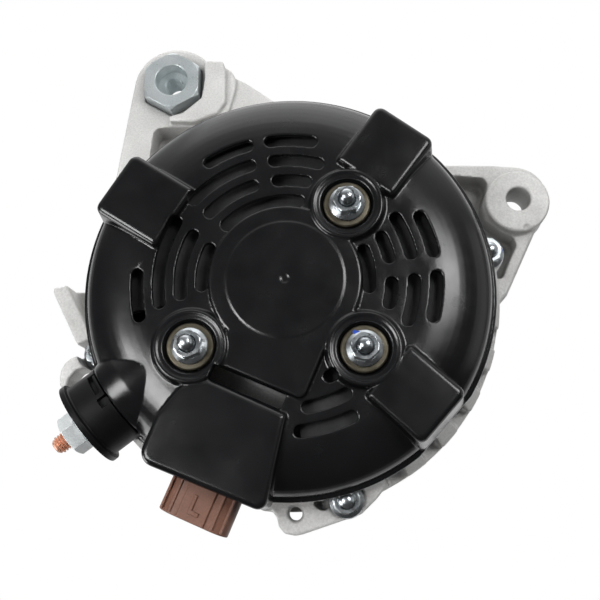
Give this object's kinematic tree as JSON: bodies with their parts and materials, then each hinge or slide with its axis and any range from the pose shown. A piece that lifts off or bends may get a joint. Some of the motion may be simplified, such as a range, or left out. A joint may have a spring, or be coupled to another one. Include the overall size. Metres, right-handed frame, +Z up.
{
  "type": "car alternator",
  "caption": "Belt-driven car alternator with two mounting ears, slotted black rear cover, output stud, plug socket, claw-pole rotor in a wound stator, and ribbed pulley.",
  "frame": {"origin": "on the rotor axis, in the plane of the mounting ears' front faces", "axes": "+Y along the rotor axis toward the pulley, +Z up as pictured, +X to the right seen from the rear cover"},
  "size_m": [0.1881, 0.1376, 0.1892],
  "materials": {
    "cast_aluminium": "as-cast, fine grain, light grey",
    "black_plastic": "satin black, moulded",
    "zinc_steel": "bright zinc plating, slightly blue",
    "bare_steel": "machined",
    "olive_steel": "dull olive passivated",
    "brown_plastic": "satin brown, moulded",
    "copper": "bright copper",
    "core_steel": "varnished dark steel",
    "winding_copper": "enamelled copper wire",
    "graphite": "carbon",
    "plate_aluminium": "pressed plate with a black coating",
    "dark_plastic": "satin dark grey, moulded"
  },
  "bodies": {
    "housing": {"drive_end_frame": "cast_aluminium", "rear_end_frame": "cast_aluminium", "stator_core": "core_steel", "stator_winding": "winding_copper", "through_stud_1": "zinc_steel", "through_stud_2": "zinc_steel", "through_stud_3": "zinc_steel", "through_stud_4": "zinc_steel", "through_nut_1": "zinc_steel", "through_nut_2": "zinc_steel", "through_nut_3": "zinc_steel", "mounting_insert": "zinc_steel", "front_bearing_outer_race": "bare_steel", "rear_bearing_outer_race": "bare_steel", "bearing_retainer": "bare_steel", "retainer_screw_1": "zinc_steel", "retainer_screw_2": "zinc_steel", "retainer_screw_3": "zinc_steel", "rear_cover": "black_plastic", "cover_stud_1": "zinc_steel", "cover_stud_2": "zinc_steel", "cover_stud_3": "zinc_steel", "cover_nut_1": "zinc_steel", "cover_nut_2": "zinc_steel", "cover_nut_3": "zinc_steel", "cover_sleeve_1": "olive_steel", "cover_sleeve_2": "olive_steel", "cover_sleeve_3": "olive_steel", "rectifier_negative_plate": "plate_aluminium", "rectifier_positive_plate": "plate_aluminium", "regulator": "dark_plastic", "regulator_connector": "brown_plastic", "connector_pin_1": "copper", "connector_pin_2": "copper", "connector_pin_3": "copper", "brush_holder": "dark_plastic", "brush_spring_1": "bare_steel", "brush_spring_2": "bare_steel", "terminal_insulator": "black_plastic", "terminal_stud": "copper", "terminal_washer": "zinc_steel", "terminal_nut": "zinc_steel"},
    "rotor": {"rotor_shaft": "bare_steel", "rear_claw_pole": "core_steel", "front_claw_pole": "core_steel", "field_coil": "winding_copper", "rear_fan": "bare_steel", "front_fan": "bare_steel", "slip_ring_1": "copper", "slip_ring_2": "copper", "slip_ring_hub": "dark_plastic", "front_bearing_inner_race": "bare_steel", "rear_bearing_inner_race": "bare_steel", "pulley": "bare_steel", "pulley_nut": "zinc_steel"},
    "front_balls": {"front_bearing_balls": "bare_steel"},
    "rear_balls": {"rear_bearing_balls": "bare_steel"},
    "brush_a": {"brush_1": "graphite"},
    "brush_b": {"brush_2": "graphite"}
  },
  "joints": [
    {"name": "rotor_spin", "type": "hinge", "parent": "housing", "child": "rotor", "pos_m": [0, 0, 0], "axis": [0, 1, 0], "continuous": true},
    {"name": "front_bearing_cage_spin", "type": "hinge", "parent": "housing", "child": "front_balls", "pos_m": [0, 0, 0], "axis": [0, 1, 0], "continuous": true},
    {"name": "rear_bearing_cage_spin", "type": "hinge", "parent": "housing", "child": "rear_balls", "pos_m": [0, 0, 0], "axis": [0, 1, 0], "continuous": true},
    {"name": "brush_1_slide", "type": "slide", "parent": "housing", "child": "brush_a", "axis": [-0.3907, 0, -0.9205], "range_m": [0, 0.003], "stiffness_N_per_m": 200, "springref_m": -0.006, "deforming": ["brush_spring_1"]},
    {"name": "brush_2_slide", "type": "slide", "parent": "housing", "child": "brush_b", "axis": [-0.3907, 0, -0.9205], "range_m": [0, 0.003], "stiffness_N_per_m": 200, "springref_m": -0.006, "deforming": ["brush_spring_2"]}
  ],
  "couplings": [
    {"joint": "front_bearing_cage_spin", "follows": "rotor_spin", "ratio": 0.379},
    {"joint": "rear_bearing_cage_spin", "follows": "rotor_spin", "ratio": 0.398}
  ]
}
